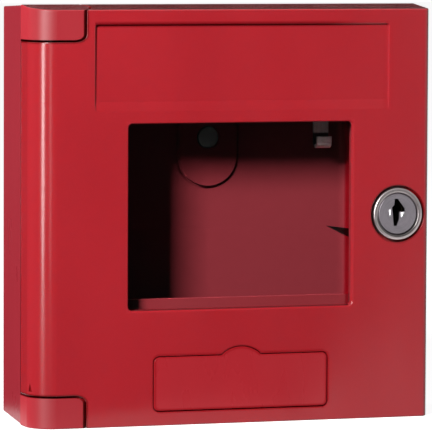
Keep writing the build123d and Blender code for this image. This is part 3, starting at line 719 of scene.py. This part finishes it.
def burnished_metal(name, rgb, lean):
    """Bright metal rubbed by keys, its surface leaning by these slopes to the right and upwards."""
    material, n = new_material(name)
    place = n.place()
    x, _, z = n.parts(place)
    leaning = n.plus(n.product(x, lean[0]), n.product(z, lean[1]))
    scratches = n.noise(n.scaled(place, SCRATCH_SCALES), 1.0)
    tone = n.blend(scratches, *[shade(rgb, factor) for factor in SCRATCH_TONES])
    n.metal(tone, n.spread(scratches, *SCRATCH_ROUGHNESS), n.bump(leaning, 1.0))
    return material


def clear_glass(name):
    """Float glass that lets lamps through, with a trace of dust and a green-grey body tint.

    Beyond the window's right-hand edge it carries a painted reflection of the red frame and seal round
    it.
    """
    material, n = new_material(name)
    place = n.place()
    dust = n.noise(place, *DUST)
    tint = n.blend(n.spread(dust, 0.0, 1.0, *DUST_TINTED), shade(CLEAN_GLASS), shade(DUSTY_GLASS))
    # painted reflection of the red frame near the window's right-hand edge
    from_edge = n.minus(n.parts(place)[0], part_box("glass_pane")[1].x - GLASS_OVERLAP)
    tint = n.blend(n.spread(from_edge, 0.0, 1.0, *SEAL_REFLECTION_EDGE), tint, shade(PAINTED_SEAL_REFLECTION))
    glass = n.principled(tint, n.spread(dust, 0.0, DUST_ROUGHNESS, *DUST_ROUGHENED))
    glass.inputs["Transmission Weight"].default_value = 1.0
    glass.inputs["IOR"].default_value = GLASS_IOR
    through = n.add("ShaderNodeBsdfTransparent")
    kept = n.blend(n.rays("Is Diffuse Ray"), shade(GLASS_PASSED), shade(GLASS_DIMMED))
    n.feed(through.inputs["Color"], kept)
    lets_through = n.rays("Is Shadow Ray", "Is Diffuse Ray")
    n.output(n.either(lets_through, glass.outputs[0], through.outputs[0]))
    return material


def soft_rubber(name, dark, light):
    """Rubber between two colours, with fine pores."""
    material, n = new_material(name)
    pores = n.noise(n.place(), *PORES)
    tone = n.blend(pores, shade(dark), shade(light))
    normal = n.bump(pores, PORE_HEIGHT, PORE_STRENGTH)
    n.output(n.principled(tone, n.spread(pores, *PORE_ROUGHNESS), normal).outputs[0])
    return material


# ---------------------------------------------------------------- a finish for every CAD node
door_plastic = moulded_plastic(
    "red_plastic_door", RED, roughness=0.20, grain=0.006 * MM, painted_shading=True, window=True, bleed=0.45)
case_plastic = moulded_plastic(
    "red_plastic_case", CASE_RED, roughness=0.42, grain=0.022 * MM, painted_shading=True,
    inner=INNER_RED_AND_SHADE, outer_sides=0.30)
retainer_plastic = moulded_plastic(
    "red_plastic_retainer", RETAINER_RED, roughness=0.50, grain=0.020 * MM)
cover_plastic = moulded_plastic("red_plastic_cover", RED, roughness=0.28, grain=0.010 * MM, painted_shading=True)
nickel = turned_metal("nickel_turned", NICKEL, roughness=0.36, ring=RING_DISH)
nickel_matt = turned_metal("nickel_matt", NICKEL_DULL, roughness=0.44, hollow=KEYWAY_SHADED)
nickel_bright = burnished_metal("nickel_burnished", NICKEL_BRIGHT, LAND_LEAN)
blackened = plated_steel("steel_blackened", STEEL_BLACK, roughness=0.42)
steel = plated_steel("steel_plated", STEEL_GREY, roughness=0.34)
hook_steel = plated_steel("steel_hook", STEEL_GREY, roughness=0.34, shaded_behind=(HOOK_SHADE_DEPTH, HOOK_SHADE_HEIGHT))
brass = plated_steel("brass_stamped", BRASS_BROWN, roughness=0.45)
glass = clear_glass("glass_clear")
rubber = soft_rubber("rubber_black", *RUBBER_BLACK)
gasket_rubber = soft_rubber("rubber_red", *RUBBER_RED)

FINISHES = {
    door_plastic: ["door_shell"],
    retainer_plastic: ["glass_retainer"],
    case_plastic: ["base_case"],
    cover_plastic: ["label_cover"],
    nickel: ["lock_housing"],
    nickel_matt: ["lock_plug"],
    blackened: ["lock_cam", "hinge_pin_upper", "hinge_pin_lower"],
    hook_steel: ["key_hook"],
    steel: ["hook_screw", "retainer_screws", "lock_clip", "stop_washer", "cam_washer", "cam_screw"],
    brass: ["lock_wafers"],
    glass: ["glass_pane"],
    gasket_rubber: ["glass_gasket"],
}
for material, names in FINISHES.items():
    for name in names:
        for material_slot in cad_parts[name].material_slots:
            material_slot.material = material


# ---------------------------------------------------------------- new pieces
def linked(name, mesh):
    """An object made of this bmesh, and in the scene."""
    built = bpy.data.meshes.new(name)
    mesh.to_mesh(built)
    mesh.free()
    thing = bpy.data.objects.new(name, built)
    bpy.context.scene.collection.objects.link(thing)
    return thing


def shown(name, mesh, material, body):
    """Finishes a new piece: smooth four-cornered faces, its material, and its body."""
    piece = linked(name, mesh)
    for face in piece.data.polygons:
        face.use_smooth = len(face.vertices) == 4
    piece.data.materials.append(material)
    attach(piece, body)


def turned(profile, centre, steps=48):
    """A closed round body about an axis along Y through centre, from (radius, y) pairs."""
    mesh = bmesh.new()
    rows = []
    for radius, y in profile:
        if radius == 0.0:
            rows.append([mesh.verts.new((centre[0], y, centre[1]))])
            continue
        turns = [2 * math.pi * i / steps for i in range(steps)]
        rows.append([
            mesh.verts.new((centre[0] + radius * math.cos(a), y, centre[1] + radius * math.sin(a)))
            for a in turns
        ])
    for before, after in zip(rows, rows[1:]):
        for i in range(steps):
            j = (i + 1) % steps
            ends = [(before, i), (before, j), (after, j), (after, i)]
            corners = [row[k % len(row)] for row, k in ends]
            mesh.faces.new(list(dict.fromkeys(corners)))   # three corners at a row of one point
    bmesh.ops.recalc_face_normals(mesh, faces=mesh.faces)
    return mesh


def plate(corners, y_back, thick, chamfer):
    """A thin flat plate facing the viewer, with a chamfer round its front."""
    mesh = bmesh.new()
    count = len(corners)
    middle = Vector((sum(x for x, z in corners) / count, sum(z for x, z in corners) / count))
    rows = []
    for y, inset in ((y_back, 0.0), (y_back - thick + chamfer, 0.0), (y_back - thick, chamfer)):
        row = []
        for corner in corners:
            out = Vector(corner) - middle
            at = middle + out * (1.0 - inset / out.length)
            row.append(mesh.verts.new((at.x, y, at.y)))
        rows.append(row)
    for before, after in zip(rows, rows[1:]):
        for i in range(count):
            j = (i + 1) % count
            mesh.faces.new((before[i], before[j], after[j], after[i]))
    mesh.faces.new(rows[0])
    mesh.faces.new(rows[-1])
    bmesh.ops.recalc_face_normals(mesh, faces=mesh.faces)
    return mesh


def make_fixing_plug():
    """The black plug pushed into the sunk hole behind the window, over the upper wall screw."""
    profile = [(0.0, PLUG_BACK), (PLUG_RADIUS, PLUG_BACK), (PLUG_RADIUS, PLUG_FRONT + PLUG_ROUND)]
    for angle in PLUG_ROUND_ANGLES:
        turn = math.radians(angle)
        inward = PLUG_ROUND * (1.0 - math.cos(turn))
        forward = PLUG_ROUND * math.sin(turn)
        profile.append((PLUG_RADIUS - inward, PLUG_FRONT + PLUG_ROUND - forward))
    profile.append((0.0, PLUG_FRONT))
    shown("fixing_plug", turned(profile, (PLUG_X, PLUG_Z)), rubber, "case")


def make_rubbed_marks():
    """Two bright lands beside the keyway, where keys have polished the plug's face."""
    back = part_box("lock_plug")[0].y + MARK_SUNK
    centre = lock_centre()
    for name, outline in RUBBED_MARKS.items():
        corners = [(centre.x + x * MM, centre.z + z * MM) for x, z in outline]
        mark = plate(corners, back, MARK_THICK, MARK_CHAMFER)
        shown(name, mark, nickel_bright, "plug")


make_fixing_plug()
make_rubbed_marks()


# ---------------------------------------------------------------- floor and world
def make_floor():
    """Paper that the camera sees as white, and that throws only a little light on the box."""
    plane = bmesh.new()
    bmesh.ops.create_grid(plane, x_segments=1, y_segments=1, size=FLOOR_HALF)
    floor = linked("floor", plane)
    floor.location = (0.0, 0.0, low.z - FLOOR_DROP)
    floor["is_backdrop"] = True
    material, n = new_material("floor_paper")
    paper = n.add("ShaderNodeBsdfDiffuse")
    thrown = n.rays("Is Diffuse Ray", "Is Glossy Ray")
    n.feed(paper.inputs["Color"], n.blend(thrown, grey(FLOOR_SHADE), grey(FLOOR_SHADE * FLOOR_BOUNCE)))
    glow = n.add("ShaderNodeEmission")
    seen = n.rays("Is Camera Ray", "Is Glossy Ray", "Is Transmission Ray")
    n.feed(glow.inputs["Strength"], n.product(seen, FLOOR_LIFT))
    both = n.add("ShaderNodeAddShader")
    n.feed(both.inputs[0], paper.outputs[0])
    n.feed(both.inputs[1], glow.outputs[0])
    n.output(both.outputs[0])
    floor.data.materials.append(material)


def make_world():
    """White to the camera and in reflections, and a faint light on everything else."""
    world = bpy.data.worlds.new("studio")
    bpy.context.scene.world = world
    world.use_nodes = True
    n = Nodes(world.node_tree)
    skies = []
    for strength in (AMBIENT, WHITE_SKY):
        sky = n.add("ShaderNodeBackground")
        sky.inputs["Color"].default_value = grey(1.0)
        sky.inputs["Strength"].default_value = strength
        skies.append(sky.outputs[0])
    seen = n.rays("Is Camera Ray", "Is Glossy Ray", "Is Transmission Ray")
    n.output(n.either(seen, *skies), "ShaderNodeOutputWorld")


# ---------------------------------------------------------------- lights and cards
def direction(azimuth, elevation):
    """Unit vector from the box towards the viewer's side, with azimuth counted to the left."""
    a = math.radians(azimuth)
    e = math.radians(elevation)
    return Vector((-math.sin(a) * math.cos(e), -math.cos(a) * math.cos(e), math.sin(e)))


def area_light(name, azimuth, elevation, distance, width, tall, power):
    """A rectangular lamp in that direction from the target, and aimed at it."""
    data = bpy.data.lights.new(name, "AREA")
    data.shape = "RECTANGLE"
    data.size = width
    data.size_y = tall
    data.energy = power
    light = bpy.data.objects.new(name, data)
    light.visible_camera = False
    light.location = TARGET + direction(azimuth, elevation) * distance
    light.rotation_euler = (TARGET - light.location).to_track_quat("-Z", "Y").to_euler()
    bpy.context.scene.collection.objects.link(light)
    return light


def standing_strip(name, azimuth, width, power):
    """An upright strip light whose lower end is at STRIP_LOW, and which only reflections show."""
    middle = math.tan(math.radians(STRIP_LOW)) * LIGHT_DISTANCE + STRIP_TALL / 2
    elevation = math.degrees(math.atan2(middle, LIGHT_DISTANCE))
    strip = area_light(name, azimuth, elevation, LIGHT_DISTANCE, width, STRIP_TALL, power)
    strip.visible_diffuse = False


def black_card(name, start, end, section):
    """A card seen only in reflections and through the pane: a (distance, height) section swept
    about the box from one azimuth to another.
    """
    sheet = bmesh.new()
    steps = max(2, int(abs(end - start) / FLAG_STEP))
    rows = []
    for i in range(steps + 1):
        a = math.radians(start + (end - start) * i / steps)
        across, ahead = -math.sin(a), -math.cos(a)
        rows.append([sheet.verts.new((across * far, ahead * far, up)) for far, up in section])
    for before, after in zip(rows, rows[1:]):
        for k in range(len(section) - 1):
            sheet.faces.new((before[k], after[k], after[k + 1], before[k + 1]))
    card = linked(name, sheet)
    card.visible_camera = False
    card.visible_diffuse = False
    card.visible_shadow = False
    card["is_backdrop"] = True
    card.data.materials.append(card_paper)


def black_paper(name):
    """Black card with a faint fibre."""
    material, n = new_material(name)
    paper = n.add("ShaderNodeBsdfDiffuse")
    fibre = n.noise(n.place(), *CARD_FIBRE)
    n.feed(paper.inputs["Color"], n.blend(fibre, grey(CARD_DARK), grey(CARD_LIGHT)))
    n.output(paper.outputs[0])
    return material


card_paper = black_paper("card_paper")

make_floor()
make_world()
area_light("key", KEY_AZIMUTH, KEY_ELEVATION, KEY_DISTANCE, KEY_SIZE, KEY_SIZE, KEY_POWER)
standing_strip("strip", STRIP_AZIMUTH, STRIP_WIDTH, STRIP_POWER)
standing_strip("soft", SOFT_AZIMUTH, SOFT_WIDTH, SOFT_POWER)
fill = area_light(
    "fill", FILL_AZIMUTH, FILL_ELEVATION, LIGHT_DISTANCE, FILL_SIZE, FILL_SIZE, FILL_POWER)
fill.visible_glossy = False
ground = low.z + FLAG_RISE
black_card("card_front_left", FLAG_RIGHT, FLAG_BACK,
           [(FLAG_NEAR, ground), (FLAG_FAR, ground), (FLAG_FAR, FLAG_TOP)])
black_card("card_behind", FLAG_BACK, FLAG_END, [(FLAG_FAR, BACK_LOW), (FLAG_FAR, FLAG_TOP)])


# ---------------------------------------------------------------- making the camera
def make_camera():
    """The fitted camera: it looks at TARGET from VIEW_DISTANCE away."""
    ahead = Vector((
        math.sin(VIEW_YAW) * math.cos(VIEW_PITCH),
        math.cos(VIEW_YAW) * math.cos(VIEW_PITCH),
        -math.sin(VIEW_PITCH),
    ))
    level = Vector((math.cos(VIEW_YAW), -math.sin(VIEW_YAW), 0.0))
    above = level.cross(ahead)
    across = math.cos(VIEW_ROLL) * level + math.sin(VIEW_ROLL) * above
    upward = across.cross(ahead)
    data = bpy.data.cameras.new("camera")
    data.sensor_width = SENSOR
    data.lens = SENSOR * FOCAL_PIXELS / FRAME_PIXELS
    data.clip_end = CLIP_END
    camera = bpy.data.objects.new("camera", data)
    turn = Matrix((across, upward, -ahead)).transposed().to_4x4()
    camera.matrix_world = Matrix.Translation(TARGET - ahead * VIEW_DISTANCE) @ turn
    bpy.context.scene.collection.objects.link(camera)
    bpy.context.scene.camera = camera


make_camera()
bpy.context.scene.view_settings.view_transform = "Standard"

low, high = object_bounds()
